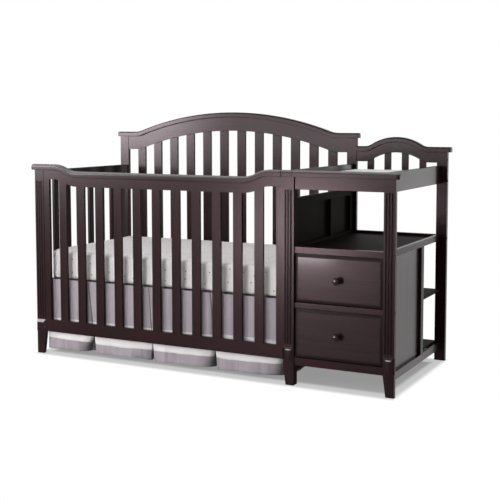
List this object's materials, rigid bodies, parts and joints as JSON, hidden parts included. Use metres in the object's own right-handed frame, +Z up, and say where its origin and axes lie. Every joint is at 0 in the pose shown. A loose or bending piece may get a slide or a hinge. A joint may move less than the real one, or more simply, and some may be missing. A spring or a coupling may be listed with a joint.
{
  "type": "crib with attached changer",
  "caption": "Convertible wooden crib with arched back, mattress and skirt, joined at one end to a changing table with tray, open bay, sliding drawers and side shelves.",
  "frame": {"origin": "middle of the bounding box, on the floor under the feet", "axes": "+X along the crib towards the changer (the viewer's right, seen from the front), +Y from front to back, +Z up"},
  "size_m": [1.896, 0.791, 1.195],
  "materials": {
    "espresso_wood": "dark espresso stain under satin lacquer",
    "espresso_board": "dark espresso board, satin",
    "drawer_wood": "dark stained drawer box, dull",
    "runner_steel": "light grey coated steel",
    "dark_metal": "dark bronze, glossy",
    "black_steel": "black powder coat",
    "spring_wire": "zinc-plated wire",
    "sheet_cloth": "white woven sheet with sparse small dark dots",
    "skirt_cloth": "lavender-grey woven cloth with a white band over the hem",
    "pad_cloth": "white wipe-clean cover"
  },
  "bodies": {
    "crib": {"left_front_post": "espresso_wood", "middle_front_post": "espresso_wood", "right_front_post": "espresso_wood", "left_back_post": "espresso_wood", "middle_back_post": "espresso_wood", "right_back_post": "espresso_wood", "front_top_rail": "espresso_wood", "front_cap": "espresso_wood", "front_cap_block": "espresso_wood", "front_bottom_rail": "espresso_wood", "front_slats": "espresso_wood", "front_stiles": "espresso_wood", "back_arch_rail": "espresso_wood", "back_arch_cap": "espresso_wood", "back_slats": "espresso_wood", "back_bottom_rail": "espresso_wood", "left_end_top_rail": "espresso_wood", "left_end_bottom_rail": "espresso_wood", "left_end_slats": "espresso_wood", "divider_top_board": "espresso_wood", "divider_rails": "espresso_wood", "divider_stiles": "espresso_wood", "changer_front_rail": "espresso_wood", "changer_front_cap": "espresso_wood", "changer_side_board": "espresso_wood", "changer_arch_rail": "espresso_wood", "changer_arch_cap": "espresso_wood", "changer_back_slats": "espresso_wood", "changer_back_rail": "espresso_wood", "tray_floor": "espresso_wood", "shelf_rails": "espresso_wood", "middle_shelf": "espresso_wood", "drawer_rail": "espresso_wood", "base_rails": "espresso_wood", "bottom_panel": "espresso_wood", "side_panel": "espresso_wood", "side_stiles": "espresso_wood", "side_shelf": "espresso_wood", "divider_panel": "espresso_board", "cabinet_back": "espresso_board", "runner_cleats": "espresso_board", "cabinet_runners": "runner_steel", "support_frame": "black_steel", "support_wires": "spring_wire", "support_brackets": "black_steel", "frame_bolts": "dark_metal", "mattress": "sheet_cloth", "skirt_front": "skirt_cloth", "skirt_sides": "skirt_cloth", "changing_pad": "pad_cloth"},
    "upper_drawer": {"upper_drawer_front": "espresso_wood", "upper_drawer_box": "drawer_wood", "upper_drawer_bottom": "drawer_wood", "upper_drawer_runners": "runner_steel", "upper_knob": "espresso_wood"},
    "lower_drawer": {"lower_drawer_front": "espresso_wood", "lower_drawer_box": "drawer_wood", "lower_drawer_bottom": "drawer_wood", "lower_drawer_runners": "runner_steel", "lower_knob": "espresso_wood"}
  },
  "joints": [
    {"name": "upper_drawer_slide", "type": "slide", "parent": "crib", "child": "upper_drawer", "axis": [0, -1, 0], "range_m": [0, 0.3]},
    {"name": "lower_drawer_slide", "type": "slide", "parent": "crib", "child": "lower_drawer", "axis": [0, -1, 0], "range_m": [0, 0.3]}
  ]
}
